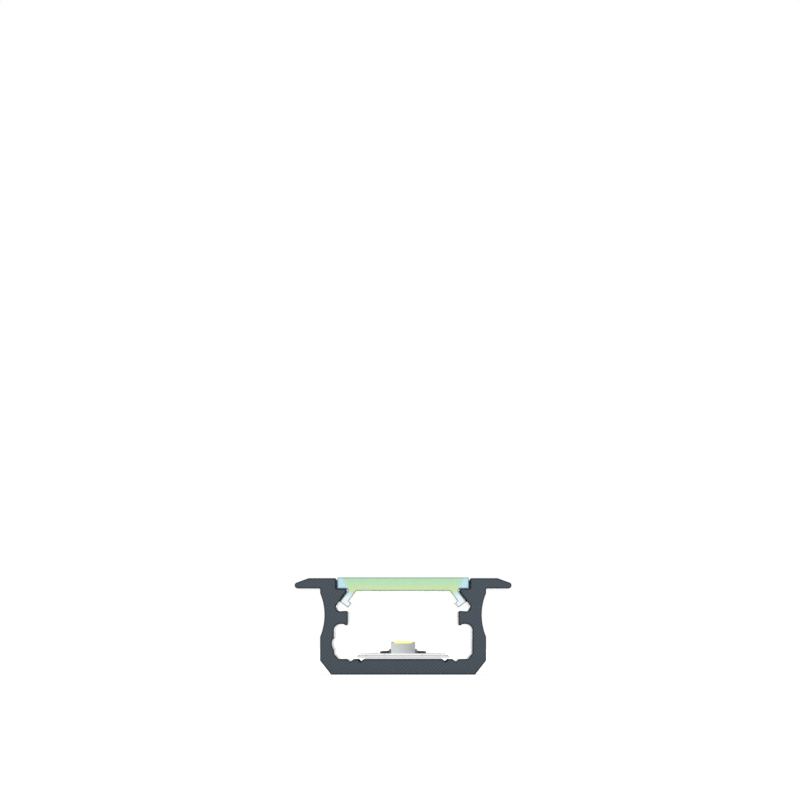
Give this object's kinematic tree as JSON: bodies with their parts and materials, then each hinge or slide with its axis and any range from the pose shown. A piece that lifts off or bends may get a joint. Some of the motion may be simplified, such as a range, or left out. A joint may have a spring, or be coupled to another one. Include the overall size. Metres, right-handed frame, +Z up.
{
  "type": "recessed led strip aluminium profile",
  "caption": "Flanged aluminium extrusion for a milled groove, with a snap-in clear cover on two hooked legs and a flexible lamp strip stuck to its floor.",
  "frame": {"origin": "middle of the base's underside, halfway along the length", "axes": "+Y along the profile, +Z up out of the groove through the cover, +X to the right seen along +Y"},
  "size_m": [0.0208, 0.1, 0.0094],
  "materials": {
    "anodised_aluminium": "graphite anodised, satin",
    "clear_cover": "clear acrylic with a light blue tint",
    "adhesive_tape": "matte",
    "board_film": "satin",
    "white_coverlay": "matte white solder resist",
    "lamp_moulding": "moulded, matte",
    "yellow_gel": "cured silicone with phosphor, glossy",
    "dark_lead": "dark oxidised plating",
    "resistor_ceramic": "black glazed",
    "tin": "hot tinned"
  },
  "bodies": {
    "channel": {"profile": "anodised_aluminium", "tape": "adhesive_tape", "board": "board_film", "coverlay": "white_coverlay", "lamp_lands": "tin", "resistor_lands": "tin", "lamp_housing_1": "lamp_moulding", "lamp_housing_2": "lamp_moulding", "lamp_housing_3": "lamp_moulding", "lamp_housing_4": "lamp_moulding", "lamp_housing_5": "lamp_moulding", "lamp_housing_6": "lamp_moulding", "lamp_gel_1": "yellow_gel", "lamp_gel_2": "yellow_gel", "lamp_gel_3": "yellow_gel", "lamp_gel_4": "yellow_gel", "lamp_gel_5": "yellow_gel", "lamp_gel_6": "yellow_gel", "lamp_lead_left_1": "dark_lead", "lamp_lead_right_1": "dark_lead", "lamp_lead_left_2": "dark_lead", "lamp_lead_right_2": "dark_lead", "lamp_lead_left_3": "dark_lead", "lamp_lead_right_3": "dark_lead", "lamp_lead_left_4": "dark_lead", "lamp_lead_right_4": "dark_lead", "lamp_lead_left_5": "dark_lead", "lamp_lead_right_5": "dark_lead", "lamp_lead_left_6": "dark_lead", "lamp_lead_right_6": "dark_lead", "resistor_1": "resistor_ceramic", "resistor_2": "resistor_ceramic", "resistor_cap_front_1": "tin", "resistor_cap_back_1": "tin", "resistor_cap_front_2": "tin", "resistor_cap_back_2": "tin", "solder_pad_plus_1": "tin", "solder_pad_minus_1": "tin", "solder_pad_plus_2": "tin", "solder_pad_minus_2": "tin", "solder_pad_plus_3": "tin", "solder_pad_minus_3": "tin"},
    "cover": {"cover": "clear_cover"}
  },
  "joints": [
    {"name": "cover_slide", "type": "slide", "parent": "channel", "child": "cover", "axis": [0, 1, 0], "range_m": [0, 0.1]}
  ]
}
